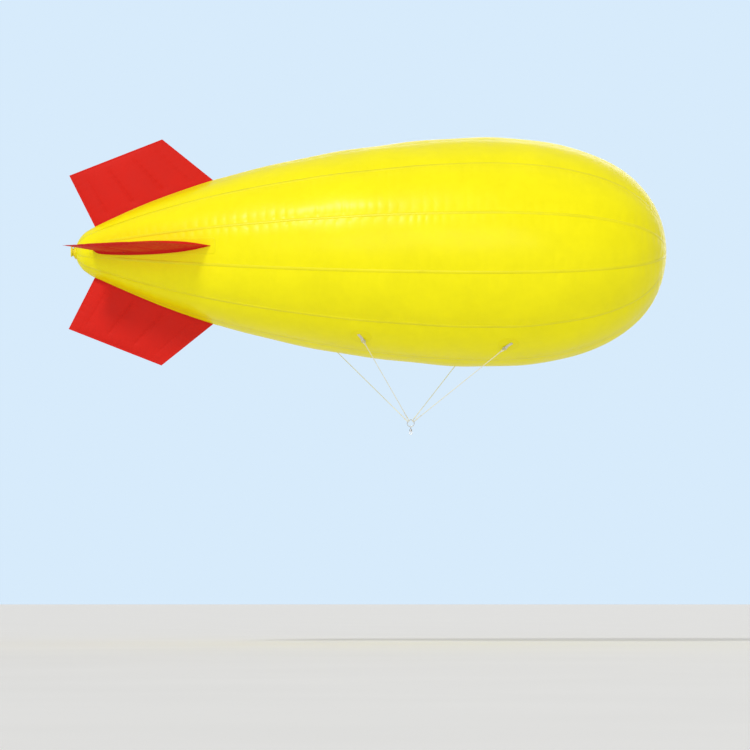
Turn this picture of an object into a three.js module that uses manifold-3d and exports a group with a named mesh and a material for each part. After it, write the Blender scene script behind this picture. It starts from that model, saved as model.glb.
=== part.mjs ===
// Advertising blimp balloon: a gas-tight film envelope with four inflated tail fins, a capped
// filling valve in its tail, and a four-line bridle that gathers at a ring and a swivel below it.
// Millimetres, +Z up, +X towards the nose, +Y to port. The origin is the envelope's centre of
// buoyancy, on its axis. A station is a distance along the axis from the tail tip.

import * as THREE from 'three';
import { mergeVertices } from 'three/addons/utils/BufferGeometryUtils.js';
import Module from 'manifold-3d';

const wasm = await Module();
wasm.setup();

const radians = THREE.MathUtils.degToRad;

// Driving dimensions

const gap = 0.3;                   // between pieces that touch
const skinLift = 0.4;              // under a skin welded to the envelope
const overlap = 1;                 // by which the shapes of one piece run into each other
const sides = { line: 8, rod: 12, pin: 16, barrel: 20, disc: 24, endPatch: 36 };

const hull = {
  length: 6100,
  maxRadius: 1186,
  maxStation: 4250,
  tailRadius: 262,
  tailAngle: radians(27.5),        // of the cone that leaves the round tail
  flankTailHandle: 1620,
  flankBellyHandle: 830,
  noseAxialHandle: 1110,
  noseRadialHandle: 780,
  wall: 10,
  segments: 36,
  rings: { tail: 3, flank: 11, nose: 8 },
};
const buoyancyStation = 3554;

const patch = { thickness: 5, noseRadius: 150, tailRadius: 130, loadRadius: 110 };

const valve = {
  boreRadius: 30,
  spigotRadius: 34,
  spigotReach: 30,                 // into the envelope
  neckRadius: 38,
  neckEnd: -46,
  flangeRadius: 66,
  flangeFace: -12,
  flapFace: -8,                    // non-return flap across the bore
  flapThickness: 4,
};
const cap = {
  clearance: 5,
  rim: 4,
  depth: 10,
  plate: 5,
  armHalfWidth: 8,
  armFoot: 6,                      // how far the arm reaches over the cap's rim, on both sides
  armNeck: 2,
  armShoulder: 8,
};
const hinge = { station: -34, height: 58, pinRadius: 3, boreRadius: 3.4, barrelRadius: 6 };
const lug = { inner: 10.5, outer: 16.5, radius: 6 };

const fin = {
  rootBack: { station: 200, radius: 256 },
  rootFront: { station: 1428, radius: 740 },
  tipFront: { station: 889, radius: 1173 },
  tipBack: { station: -72, radius: 795 },
  rootSink: 60,                    // the edges run on into the envelope, to be cut at the seat
  halfThickness: 45,
  rimHalf: 5,
  wall: 10,
  cavityInset: 40,
  chordSteps: 10,
  spanSteps: 6,
};
const strip = { halfWidth: 85, thickness: 6, overrun: 45 };
const finValve = {
  u: 0.3,
  v: 0.2,
  stemRadius: 9,
  stemLength: 16,
  flangeRadius: 17,
  flangeTop: 4,                    // above the fin's film
  capRadius: 11,
  capTop: 11,
};

const bridle = {
  lineRadius: 4,
  eyeRadius: 13,
  eyeSlack: 0.6,                   // between an eye and the wire that it hangs on
  spliceRadius: 5.5,
  spliceLength: 70,
  gather: new THREE.Vector3(-92, 0, -1771),
  ringRadius: 36,
  wireRadius: 4,
};
const webbing = { back: 50, front: 45, height: 12, halfWidth: 15, loopHeight: 14, loopRadius: 7.5 };
const dRing = { halfWidth: 20, shoulder: 8, wireRadius: 4 };
const swivel = {
  eyeRadius: 12,
  wireRadius: 4,
  shankRadius: 5,
  headRadius: 9,
  headHeight: 7,
  headTop: -69.3,                  // below the gathering ring's centre
  headRoom: 3,                     // under the pin's head, in the barrel
  play: 0.5,                       // round the pin, in the barrel
  barrelRadius: 14,
  barrelTop: -62,
  barrelBottom: -84,
  lowerEye: -100,
  lowerEyeRadius: 18,
  lowerHoleRadius: 9,
  plateHalf: 5,
};

// Materials

function finish(color, roughness, metalness) {
  return new THREE.MeshStandardMaterial({ color, roughness, metalness });
}

const materials = {
  envelopeFilm: finish(0xfff500, 0.35, 0),
  finFilm: finish(0xda251c, 0.38, 0),
  webbing: finish(0xf3eed6, 0.85, 0),
  line: finish(0xf6f2dc, 0.8, 0),
  valvePlastic: finish(0xf4e204, 0.45, 0),
  steel: finish(0xb9bdc2, 0.28, 1),
};

// Solids: a closed geometry becomes one that can be cut and joined, and goes back to a geometry

function solid(geometry) {
  const bare = geometry.clone();
  bare.deleteAttribute('normal');
  bare.deleteAttribute('uv');
  const merged = mergeVertices(bare);
  const index = merged.getIndex().array;
  const kept = [];
  for (let i = 0; i < index.length; i += 3) {
    const [a, b, c] = [index[i], index[i + 1], index[i + 2]];
    if (a !== b && b !== c && c !== a) kept.push(a, b, c);
  }
  return new wasm.Manifold(new wasm.Mesh({
    numProp: 3,
    vertProperties: new Float32Array(merged.getAttribute('position').array),
    triVerts: new Uint32Array(kept),
  }));
}

function geometryOf(body) {
  const { vertProperties, triVerts } = body.getMesh();
  const geometry = new THREE.BufferGeometry();
  geometry.setAttribute('position', new THREE.BufferAttribute(vertProperties, 3));
  geometry.setIndex(new THREE.BufferAttribute(triVerts, 1));
  geometry.computeVertexNormals();
  return geometry;
}

function union(...bodies) {
  return bodies.reduce((all, body) => all.add(body));
}

function piece(name, body, material) {
  const mesh = new THREE.Mesh(geometryOf(body), material);
  mesh.name = name;
  return mesh;
}

// A turned body about the envelope's axis: profile points are (radius, station)
function turned(profile, segments = sides.disc) {
  const geometry = new THREE.LatheGeometry(profile, segments);
  geometry.rotateZ(-Math.PI / 2);
  geometry.translate(-buoyancyStation, 0, 0);
  return solid(geometry);
}

function points(...pairs) {
  return pairs.map(([radius, station]) => new THREE.Vector2(radius, station));
}

// A disc on the envelope's axis between two stations
function axialDisc(radius, from, to, segments = sides.disc) {
  return turned(points([0, from], [radius, from], [radius, to], [0, to]), segments);
}

// A rod of round section from one point to another
function rod(from, to, radius, count = sides.rod) {
  const along = new THREE.Vector3().subVectors(to, from);
  const geometry = new THREE.CylinderGeometry(radius, radius, along.length(), count);
  const turn = new THREE.Quaternion().setFromUnitVectors(
    new THREE.Vector3(0, 1, 0), along.clone().normalize());
  geometry.applyQuaternion(turn);
  geometry.translate(...from.clone().add(to).multiplyScalar(0.5));
  return solid(geometry);
}

// A round ring of wire, facing along normal
function wireRing(centre, normal, radius, wireRadius, steps = 16, count = 6) {
  const geometry = new THREE.TorusGeometry(radius, wireRadius, count, steps);
  geometry.applyQuaternion(new THREE.Quaternion().setFromUnitVectors(
    new THREE.Vector3(0, 0, 1), normal.clone().normalize()));
  geometry.translate(...centre);
  return solid(geometry);
}

// A shape extruded by its width, centred across it, with its own axes laid along x and y
function slab(shape, width, x, y, at, curveSegments = 10) {
  const geometry = new THREE.ExtrudeGeometry(
    shape, { depth: width, bevelEnabled: false, curveSegments });
  geometry.translate(0, 0, -width / 2);
  const across = new THREE.Vector3().crossVectors(x, y);
  geometry.applyMatrix4(new THREE.Matrix4().makeBasis(x, y, across).setPosition(at));
  return solid(geometry);
}

function rectangle(left, bottom, right, top) {
  return new THREE.Shape(
    [[left, bottom], [right, bottom], [right, top], [left, top]].map(
      ([x, y]) => new THREE.Vector2(x, y)));
}

const axisX = new THREE.Vector3(1, 0, 0);
const axisY = new THREE.Vector3(0, 1, 0);
const axisZ = new THREE.Vector3(0, 0, 1);

// Envelope: a round tail, a flank and a nose, each a curve of (radius, station)

const flankStart = new THREE.Vector2(
  hull.tailRadius * Math.cos(hull.tailAngle),
  hull.tailRadius * (1 - Math.sin(hull.tailAngle)));
const widest = new THREE.Vector2(hull.maxRadius, hull.maxStation);

const tailCurve = new THREE.EllipseCurve(
  0, hull.tailRadius, hull.tailRadius, hull.tailRadius, -Math.PI / 2, -hull.tailAngle);
const flankCurve = new THREE.CubicBezierCurve(
  flankStart,
  new THREE.Vector2(
    flankStart.x + hull.flankTailHandle * Math.sin(hull.tailAngle),
    flankStart.y + hull.flankTailHandle * Math.cos(hull.tailAngle)),
  new THREE.Vector2(widest.x, widest.y - hull.flankBellyHandle),
  widest);
const noseCurve = new THREE.CubicBezierCurve(
  widest,
  new THREE.Vector2(widest.x, widest.y + hull.noseAxialHandle),
  new THREE.Vector2(hull.noseRadialHandle, hull.length),
  new THREE.Vector2(0, hull.length));

function outwardNormal(curve, t) {
  const along = curve.getTangent(t);
  return new THREE.Vector2(along.y, -along.x);
}

// The envelope's outline, moved out by offset; both its ends lie on the axis
function outline(offset) {
  const line = [];
  const parts = [
    [tailCurve, hull.rings.tail],
    [flankCurve, hull.rings.flank],
    [noseCurve, hull.rings.nose],
  ];
  for (const [curve, steps] of parts) {
    for (let i = curve === tailCurve ? 0 : 1; i <= steps; i += 1) {
      const t = i / steps;
      line.push(curve.getPoint(t).addScaledVector(outwardNormal(curve, t), offset));
    }
  }
  line[0].x = 0;
  line[line.length - 1].x = 0;
  return line;
}

const offsetHull = (offset) => turned(outline(offset), hull.segments);

// The envelope's radius and outward normal at a station of its flank or nose
function surfaceAt(station) {
  const curve = station < widest.y ? flankCurve : noseCurve;
  let [low, high] = [0, 1];
  for (let i = 0; i < 40; i += 1) {
    const middle = (low + high) / 2;
    if (curve.getPoint(middle).y < station) low = middle;
    else high = middle;
  }
  return { radius: curve.getPoint(low).x, normal: outwardNormal(curve, low) };
}

// A skin that lies on the envelope, before it is cut to its shape
const weldedSkin = (thickness) => offsetHull(skinLift + thickness).subtract(offsetHull(skinLift));

const valveHoleRadius = valve.spigotRadius + gap;
const valveHole = axialDisc(valveHoleRadius, valve.neckEnd, 2 * valve.spigotReach);

const envelope = offsetHull(0).subtract(offsetHull(-hull.wall)).subtract(valveHole);

// Nose and tail patches, which cover the ends of the gores

const endSkin = weldedSkin(patch.thickness);
const patchReach = 2 * patch.thickness;
const nosePatch = endSkin.intersect(
  axialDisc(
    patch.noseRadius, hull.length - patch.noseRadius, hull.length + patchReach, sides.endPatch));
const tailPatch = endSkin
  .intersect(axialDisc(patch.tailRadius, -patchReach, patch.tailRadius, sides.endPatch))
  .subtract(valveHole);

// Filling valve: a flanged neck with a non-return flap across its bore, and a hinged cap

const patchTop = skinLift + patch.thickness;
const flapBack = valve.flapFace + valve.flapThickness;

function valveBody() {
  const tube = turned(points(
    [0, valve.flapFace], [valve.boreRadius, valve.flapFace],
    [valve.boreRadius, valve.neckEnd], [valve.neckRadius, valve.neckEnd],
    [valve.neckRadius, valve.flangeFace + overlap],
    [valve.spigotRadius, valve.flangeFace + overlap],
    [valve.spigotRadius, valve.spigotReach], [valve.boreRadius, valve.spigotReach],
    [valve.boreRadius, flapBack], [0, flapBack]));
  const flange = axialDisc(valve.flangeRadius, valve.flangeFace, valve.spigotReach)
    .subtract(axialDisc(valve.boreRadius + overlap, -valve.flangeRadius, valve.flangeRadius))
    .subtract(offsetHull(patchTop + gap));
  const lugShape = new THREE.Shape()
    .moveTo(valve.flangeFace + overlap, hinge.height - lug.radius)
    .lineTo(valve.flangeFace + overlap, hinge.height + lug.radius)
    .absarc(hinge.station, hinge.height, lug.radius, Math.PI / 2, 1.5 * Math.PI);
  const lugMiddle = (lug.inner + lug.outer) / 2;
  const lugs = [-lugMiddle, lugMiddle].map((y) => slab(
    lugShape, lug.outer - lug.inner, axisX, axisZ,
    new THREE.Vector3(-buoyancyStation, y, 0), 4));
  return union(tube, flange, ...lugs, hingeRod(lug.outer - overlap, hinge.pinRadius));
}

function hingeRod(halfLength, radius) {
  const middle = new THREE.Vector3(hinge.station - buoyancyStation, 0, hinge.height);
  return rod(
    middle.clone().addScaledVector(axisY, -halfLength),
    middle.clone().addScaledVector(axisY, halfLength), radius, sides.pin);
}

function valveCap() {
  const inside = valve.neckEnd - gap;
  const outside = inside - cap.plate;
  const rimInner = valve.neckRadius + cap.clearance;
  const rimOuter = rimInner + cap.rim;
  const disc = turned(points(
    [0, outside], [rimOuter, outside], [rimOuter, inside + cap.depth],
    [rimInner, inside + cap.depth], [rimInner, inside], [0, inside]));
  const arm = new THREE.Shape([
    [outside, rimInner - cap.armFoot], [inside, rimInner - cap.armFoot],
    [inside, rimInner + cap.armNeck],
    [hinge.station, hinge.height - hinge.barrelRadius],
    [hinge.station, hinge.height + hinge.barrelRadius],
    [outside + cap.armShoulder, hinge.height + hinge.barrelRadius],
    [outside, rimOuter + cap.armFoot],
  ].map(([x, y]) => new THREE.Vector2(x, y)));
  const at = new THREE.Vector3(-buoyancyStation, 0, 0);
  return union(
    disc,
    slab(arm, 2 * cap.armHalfWidth, axisX, axisZ, at),
    hingeRod(lug.inner - 2 * gap, hinge.barrelRadius),
  ).subtract(hingeRod(2 * lug.outer, hinge.boreRadius));
}

// Fins: an inflated pillow, full at its root and pinched to a welded rim on its other edges.
// It stands straight up; u runs along the chord from the back, v from the root to the tip.

function finCorners(inset) {
  const back = finPoint(fin.tipBack, fin.rootBack, fin.rootSink);
  const front = finPoint(fin.tipFront, fin.rootFront, fin.rootSink);
  const corners = [back, front, finPoint(fin.tipFront), finPoint(fin.tipBack)];
  const middle = corners.reduce((sum, corner) => sum.add(corner), new THREE.Vector2());
  middle.divideScalar(corners.length);
  return corners.map((corner) => {
    const inward = new THREE.Vector2().subVectors(middle, corner).normalize();
    return corner.clone().addScaledVector(inward, inset);
  });
}

// A fin's corner as (X, radius), or a point past it on the line from one corner to the other
function finPoint(from, to = from, past = 0) {
  const start = new THREE.Vector2(from.station - buoyancyStation, from.radius);
  const end = new THREE.Vector2(to.station - buoyancyStation, to.radius);
  const along = new THREE.Vector2().subVectors(end, start).normalize();
  return end.addScaledVector(along, past);
}

function pillowPoint([rootBack, rootFront, tipFront, tipBack], half, rimHalf, u, v, side) {
  const root = new THREE.Vector2().lerpVectors(rootBack, rootFront, u);
  const tip = new THREE.Vector2().lerpVectors(tipBack, tipFront, u);
  const place = root.lerp(tip, v);
  const fullness = Math.sqrt(Math.max(Math.sin(Math.PI * u), 0) * (1 - v * v));
  return new THREE.Vector3(place.x, side * (rimHalf + (half - rimHalf) * fullness), place.y);
}

function pillow(corners, half, rimHalf) {
  const geometry = new THREE.BoxGeometry(1, 1, 1, fin.chordSteps, 1, fin.spanSteps);
  const position = geometry.getAttribute('position');
  for (let i = 0; i < position.count; i += 1) {
    const u = (1 - Math.cos(Math.PI * (position.getX(i) + 0.5))) / 2;
    const v = Math.sin((Math.PI / 2) * (position.getZ(i) + 0.5));
    const point = pillowPoint(corners, half, rimHalf, u, v, 2 * position.getY(i));
    position.setXYZ(i, ...point);
  }
  return solid(geometry);
}

const stripTop = skinLift + strip.thickness;

// The place and outward direction of a fin's valve, on the side of the fin given by side
function finValveSeat(side) {
  const at = (u, v) => pillowPoint(finCorners(0), fin.halfThickness, fin.rimHalf, u, v, side);
  const { u, v } = finValve;
  const alongU = at(u + 0.01, v).sub(at(u - 0.01, v));
  const alongV = at(u, v + 0.01).sub(at(u, v - 0.01));
  const normal = alongV.cross(alongU).normalize();
  if (normal.y * side < 0) normal.negate();
  return { point: at(u, v), normal };
}

function finBody(side) {
  const outer = pillow(finCorners(0), fin.halfThickness, fin.rimHalf)
    .subtract(offsetHull(stripTop + gap));
  const cavity = pillow(finCorners(fin.cavityInset), fin.halfThickness - fin.wall, 1)
    .subtract(offsetHull(stripTop + gap + fin.wall));
  const { point, normal } = finValveSeat(side);
  const hole = rod(
    point.clone().addScaledVector(normal, -1.5 * finValve.stemLength),
    point.clone().addScaledVector(normal, finValve.stemLength), finValve.stemRadius + gap);
  return outer.subtract(cavity).subtract(hole);
}

function finValveBody(side) {
  const { point, normal } = finValveSeat(side);
  const level = (height) => point.clone().addScaledVector(normal, height);
  return union(
    rod(level(-finValve.stemLength), level(gap + overlap), finValve.stemRadius),
    rod(level(gap), level(finValve.flangeTop), finValve.flangeRadius, sides.pin),
    rod(level(finValve.flangeTop - overlap), level(finValve.capTop), finValve.capRadius));
}

function rootStrip() {
  const back = fin.rootBack.station - strip.overrun - buoyancyStation;
  const front = fin.rootFront.station + strip.overrun - buoyancyStation;
  const reach = slab(
    rectangle(back, 0, front, hull.maxRadius), 2 * strip.halfWidth,
    axisX, axisZ, new THREE.Vector3());
  return weldedSkin(strip.thickness).intersect(reach);
}

// Bridle: at each of four places a welded patch, a webbing tab, a D-ring and a line with an eye
// at both ends, which runs to the gathering ring

// An attachment's frame: out from the envelope, along the line's pull on its surface, and across
function attachmentFrame({ station, roll, ringAngle }) {
  const { radius, normal } = surfaceAt(station);
  const outward = new THREE.Vector3(0, Math.sin(radians(roll)), -Math.cos(radians(roll)));
  const centre = outward.clone().multiplyScalar(radius).setX(station - buoyancyStation);
  const up = outward.clone().multiplyScalar(normal.x).setX(normal.y).normalize();
  const ringPoint = new THREE.Vector3(
    Math.sin(radians(ringAngle)), 0, Math.cos(radians(ringAngle)))
    .multiplyScalar(bridle.ringRadius).add(bridle.gather);
  const ringTangent = new THREE.Vector3(
    Math.cos(radians(ringAngle)), 0, -Math.sin(radians(ringAngle)));
  const pull = new THREE.Vector3().subVectors(ringPoint, centre);
  const along = pull.clone().addScaledVector(up, -pull.dot(up)).normalize();
  const across = new THREE.Vector3().crossVectors(up, along);
  const bar = centre.clone()
    .addScaledVector(along, webbing.front)
    .addScaledVector(up, webbing.loopHeight);
  const lineWay = new THREE.Vector3().subVectors(ringPoint, bar).normalize();
  const apex = bar.clone().addScaledVector(lineWay, dRing.shoulder + dRing.halfWidth);
  return { centre, up, along, across, bar, lineWay, apex, ringPoint, ringTangent };
}

function loadPatch({ centre, up }) {
  const reach = rod(
    centre.clone().addScaledVector(up, -patch.loadRadius / 2),
    centre.clone().addScaledVector(up, patch.loadRadius / 2), patch.loadRadius, sides.disc);
  return endSkin.intersect(reach);
}

function webbingTab({ centre, up, along, across, bar }) {
  const strap = slab(
    rectangle(-webbing.back, -webbing.height, webbing.front, webbing.height),
    2 * webbing.halfWidth, along, up, centre);
  const barEnd = (length) => bar.clone().addScaledVector(across, length);
  return union(
    strap,
    rod(barEnd(-webbing.halfWidth), barEnd(webbing.halfWidth), webbing.loopRadius),
  ).subtract(offsetHull(patchTop + gap)).subtract(
    rod(barEnd(-dRing.halfWidth), barEnd(dRing.halfWidth), dRing.wireRadius + gap));
}

function dRingBody({ across, bar, lineWay }) {
  const at = (x, y) => bar.clone().addScaledVector(across, x).addScaledVector(lineWay, y);
  const way = [at(-dRing.halfWidth, 0)];
  const bends = 6;
  for (let i = 0; i <= bends; i += 1) {
    const turn = Math.PI * (1 - i / bends);
    way.push(at(
      dRing.halfWidth * Math.cos(turn), dRing.shoulder + dRing.halfWidth * Math.sin(turn)));
  }
  way.push(at(dRing.halfWidth, 0));
  const section = new THREE.Shape().absarc(0, 0, dRing.wireRadius, 0, 2 * Math.PI);
  const bow = new THREE.ExtrudeGeometry(section, {
    steps: 14, curveSegments: 3, extrudePath: new THREE.CatmullRomCurve3(way),
  });
  const reach = dRing.halfWidth + dRing.wireRadius;
  return union(solid(bow), rod(at(-reach, 0), at(reach, 0), dRing.wireRadius, sides.line));
}

// Each eye goes round a wire, so its far side lies one wire and one line past the wire's middle
function bridleLine({ across, lineWay, apex, ringPoint, ringTangent }) {
  const seat = dRing.wireRadius + bridle.lineRadius + bridle.eyeSlack;
  const shift = bridle.eyeRadius - seat;
  const upperEye = apex.clone().addScaledVector(lineWay, shift);
  const lowerEye = ringPoint.clone().addScaledVector(lineWay, -shift);
  const lowerNormal = ringTangent.clone().addScaledVector(lineWay, -ringTangent.dot(lineWay));
  const start = upperEye.clone().addScaledVector(lineWay, bridle.eyeRadius);
  const end = lowerEye.clone().addScaledVector(lineWay, -bridle.eyeRadius);
  const spliceEnd = (from, length) => from.clone().addScaledVector(lineWay, length);
  return union(
    wireRing(upperEye, across, bridle.eyeRadius, bridle.lineRadius),
    wireRing(lowerEye, lowerNormal, bridle.eyeRadius, bridle.lineRadius),
    rod(start, end, bridle.lineRadius, sides.line),
    rod(start, spliceEnd(start, bridle.spliceLength), bridle.spliceRadius, sides.line),
    rod(spliceEnd(end, -bridle.spliceLength), end, bridle.spliceRadius, sides.line));
}

// Gathering ring and swivel; heights are below the ring's centre

const below = (height, x = 0, y = 0) => bridle.gather.clone().add(new THREE.Vector3(x, y, height));

const gatheringRing = () => wireRing(
  bridle.gather, axisY, bridle.ringRadius, bridle.wireRadius, 28, 8);

function swivelUpper() {
  const seat = bridle.wireRadius + swivel.wireRadius + gap;
  const eye = -bridle.ringRadius - (swivel.eyeRadius - seat);
  const headBottom = swivel.headTop - swivel.headHeight;
  return union(
    wireRing(below(eye), axisX, swivel.eyeRadius, swivel.wireRadius),
    rod(below(eye - swivel.eyeRadius), below(headBottom), swivel.shankRadius),
    rod(below(swivel.headTop), below(headBottom), swivel.headRadius, sides.pin));
}

function swivelLower() {
  const ceiling = swivel.headTop + gap;
  const floor = swivel.headTop - swivel.headHeight - swivel.headRoom;
  const barrel = rod(
    below(swivel.barrelTop), below(swivel.barrelBottom), swivel.barrelRadius, sides.barrel);
  const pocket = rod(
    below(ceiling), below(floor), swivel.headRadius + swivel.play, sides.pin);
  const mouth = rod(
    below(swivel.barrelTop + overlap), below(floor), swivel.shankRadius + swivel.play);
  const eye = new THREE.Shape().absarc(0, 0, swivel.lowerEyeRadius, 0, 2 * Math.PI);
  eye.holes.push(new THREE.Path().absarc(0, 0, swivel.lowerHoleRadius, 0, 2 * Math.PI, true));
  const plate = slab(eye, 2 * swivel.plateHalf, axisX, axisZ, below(swivel.lowerEye), 8);
  return union(barrel.subtract(pocket).subtract(mouth), plate);
}

// The whole object

const blimp = new THREE.Group();

blimp.add(piece('envelope', envelope, materials.envelopeFilm));
blimp.add(piece('nose_patch', nosePatch, materials.envelopeFilm));
blimp.add(piece('tail_patch', tailPatch, materials.envelopeFilm));
blimp.add(piece('valve_body', valveBody(), materials.valvePlastic));
blimp.add(piece('valve_cap', valveCap(), materials.valvePlastic));

// turn: degrees about the axis from straight up; valveSide: the side its valve is on before that turn
const finPlaces = [
  { name: 'top', turn: 0, valveSide: 1 },
  { name: 'right', turn: 90, valveSide: -1 },
  { name: 'bottom', turn: 180, valveSide: -1 },
  { name: 'left', turn: -90, valveSide: 1 },
];
const finStrip = rootStrip();
for (const { name, turn, valveSide } of finPlaces) {
  const group = new THREE.Group();
  group.rotation.x = radians(turn);
  group.add(piece(`fin_${name}`, finBody(valveSide), materials.finFilm));
  group.add(piece(`fin_strip_${name}`, finStrip, materials.envelopeFilm));
  group.add(piece(`fin_valve_${name}`, finValveBody(valveSide), materials.finFilm));
  blimp.add(group);
}

// The port pair sits further aft than the starboard pair, so that all four lines fan out.
// roll: degrees round the envelope from its lowest line, to port; ringAngle: the eye's place on
// the gathering ring, in degrees from its top towards the nose
const attachments = [
  { name: 'front_left', station: 4040, roll: 32, ringAngle: 33 },
  { name: 'front_right', station: 4450, roll: -32, ringAngle: 60 },
  { name: 'rear_left', station: 2560, roll: 32, ringAngle: -60 },
  { name: 'rear_right', station: 2950, roll: -32, ringAngle: -33 },
];
for (const attachment of attachments) {
  const frame = attachmentFrame(attachment);
  const { name } = attachment;
  blimp.add(piece(`load_patch_${name}`, loadPatch(frame), materials.envelopeFilm));
  blimp.add(piece(`webbing_${name}`, webbingTab(frame), materials.webbing));
  blimp.add(piece(`d_ring_${name}`, dRingBody(frame), materials.steel));
  blimp.add(piece(`bridle_line_${name}`, bridleLine(frame), materials.line));
}

blimp.add(piece('gathering_ring', gatheringRing(), materials.steel));
blimp.add(piece('swivel_upper', swivelUpper(), materials.steel));
blimp.add(piece('swivel_lower', swivelLower(), materials.steel));

export default blimp;
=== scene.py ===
"""Advertising blimp balloon: a welded film envelope with inflated tail fins, load patches with
stitched webbing, a laid rope bridle, a gathering ring, a swivel and a filling valve.

Metres, +X to the nose, +Y to port, +Z up, origin at the envelope's centre of buoyancy. A station is
a distance along the axis from the tail tip, and an arc is one along the envelope's outline. An angle
round the axis starts at straight up and grows towards port."""

from math import acos, cos, pi, radians, sin, sqrt, tan

import bmesh
import bpy
import numpy as np
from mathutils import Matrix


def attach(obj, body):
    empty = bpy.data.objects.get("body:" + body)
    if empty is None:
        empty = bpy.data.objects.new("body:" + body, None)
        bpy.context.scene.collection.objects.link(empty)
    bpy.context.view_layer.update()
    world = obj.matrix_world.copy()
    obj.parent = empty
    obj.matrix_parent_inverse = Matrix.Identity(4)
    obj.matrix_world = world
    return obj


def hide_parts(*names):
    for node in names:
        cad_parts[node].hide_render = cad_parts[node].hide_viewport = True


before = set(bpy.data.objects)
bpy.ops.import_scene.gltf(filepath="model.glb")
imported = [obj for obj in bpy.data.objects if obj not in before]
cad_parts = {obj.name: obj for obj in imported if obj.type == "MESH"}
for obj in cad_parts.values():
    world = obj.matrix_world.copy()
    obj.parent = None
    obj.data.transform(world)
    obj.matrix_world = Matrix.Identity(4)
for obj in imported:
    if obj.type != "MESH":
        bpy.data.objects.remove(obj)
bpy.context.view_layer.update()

MM = 0.001
TURN = 2 * pi
AHEAD = np.array([1.0, 0, 0])
PORT = np.array([0, 1.0, 0])
UP = np.array([0, 0, 1.0])

# Envelope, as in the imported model

BUOYANCY_STATION = 3.554
TAIL = -BUOYANCY_STATION * AHEAD
HULL_LENGTH = 6.100
MAX_RADIUS = 1.186
MAX_STATION = 4.250
TAIL_RADIUS = 0.262
TAIL_ANGLE = radians(27.5)
FLANK_TAIL_HANDLE = 1.620
FLANK_BELLY_HANDLE = 0.830
NOSE_AXIAL_HANDLE = 1.110
NOSE_RADIAL_HANDLE = 0.780

# Film relief: how the welded seams and the end patches pull the film in

GORES = 12
GORE_ANGLE = TURN / GORES
LOBE_DEPTH = 13 * MM  # of the valley at a seam where the envelope is widest
LOBE_TAPER = 0.7
TAPE_HALF = 16 * MM
TAPE_THICKNESS = 0.9 * MM
TAPE_TUCK = 0.03  # of each end, under the end patches
TAPE_THIN = 0.3  # and its share of the thickness there
SEAM_CREASE = 105 * MM  # from one pucker to the next, on average
PUCKER_BODY = 5.5 * MM
PUCKER_ENDS = 7.5 * MM  # towards the nose and the tail, where the gores narrow
PUCKER_RISE = (0.95 * TAPE_HALF, 2.2 * TAPE_HALF)
PUCKER_PEAK = 1.5 * TAPE_HALF
PUCKER_REACH = 95 * MM
PUCKER_LEAST_RADIUS = 0.25
WAVE_HEIGHT = 2.3 * MM
GATHER_FOLDS = 36
GATHER_DEPTH = 1.4 * MM
GATHER_REACH = 0.11
GATHER_SWAY = 1.5  # of the folds to both sides, in radians, five times round the axis
KNOT_SPACING = 0.15  # along an edge, from one change of its creases to the next
CREASE_SPACINGS = (0.7, 1.35)
CREASE_HEIGHTS = (0.25, 1.0)
SEAM_SEED = 11
WAVE_SEED = 5
HOLD_FADE = 0.03  # past a doubler's edge, until the film is free
END_HOLD_FADE = 0.02

# Welded doublers; a patch has two layers, given by their radii

DOUBLER = 1.4 * MM
SUNK = -0.6 * MM  # the underside of a doubler, just inside the skin
UNDERCUT = 0.3 * MM
BEVEL = 0.6 * MM
LAYERS = ((SUNK, DOUBLER), (DOUBLER, 2 * DOUBLER))
NOSE_PATCH = (0.150, 0.085)
TAIL_PATCH = (0.130, 0.095)
TAIL_PATCH_HOLE = 0.0344
LOAD_PATCH = (0.110, 0.075)
STRIP_HALF = 0.085
STRIP_OVERRUN = 0.045
STRIP_CORNER = 0.035

# Fins: two sheets of film welded along a rim and along baffles; corners are (station, radius)

ROOT_BACK = (0.200, 0.256)
ROOT_FRONT = (1.428, 0.740)
TIP_FRONT = (0.889, 1.173)
TIP_BACK = (-0.072, 0.795)
ROOT_SINK = 0.060
FIN_HALF = 0.045
CAD_RIM_HALF = 5 * MM
RIM_FLANGE = 0.022
RIM_HALF = 0.9 * MM
RIM_WAVE = 2.2 * MM
BLUNT_EDGE = 0.5  # power of the thickness towards the trailing edge
LEADING_EDGE = 0.85  # and towards the leading edge
FIN_CREASE = 72 * MM
FIN_PUCKER = 6.5 * MM
FIN_PUCKER_REACH = 0.050
BAFFLES = 4
BAFFLE_CUT = 0.42  # of the fin's thickness, at a baffle
BAFFLE_PUCKER = 4.5 * MM
BAFFLE_REACH = 0.032
BAFFLE_TIP_FADE = (0.05, 0.13)  # distance from the tip over which the baffles start
BAFFLE_ROOT_FADE = (0.03, 0.14)  # and from the root, as shares of the span
RIM_BLEND = 8 * MM
FLANGE_WIDTH = 0.016
FLANGE_LEAST = 1 * MM
FLANGE_BACK_END = 0.11  # over which the root flange narrows to its round back end
FLANGE_FRONT_END = 0.40  # and to its pointed front end
FLANGE_LIFT = DOUBLER + 1.0 * MM
FILLET = 0.010
FIN_VALVE_AT = (0.3, 0.2)  # shares of the chord and of the span

# Bridle and its hardware

GATHER = np.array([-0.092, 0.0, -1.771])
LINE_RADIUS = 4 * MM
EYE_RADIUS = 13 * MM
EYE_SLACK = 0.6 * MM
SPLICE_LENGTH = 0.070
RING_RADIUS = 36 * MM
WIRE_RADIUS = 4 * MM
WEBBING_FRONT = 0.045
WEBBING_BACK = 0.050
WEBBING_HALF = 0.015
LOOP_HEIGHT = 0.014
D_HALF = 0.020
D_SHOULDER = 0.008
D_BEND = 6 * MM

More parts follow.
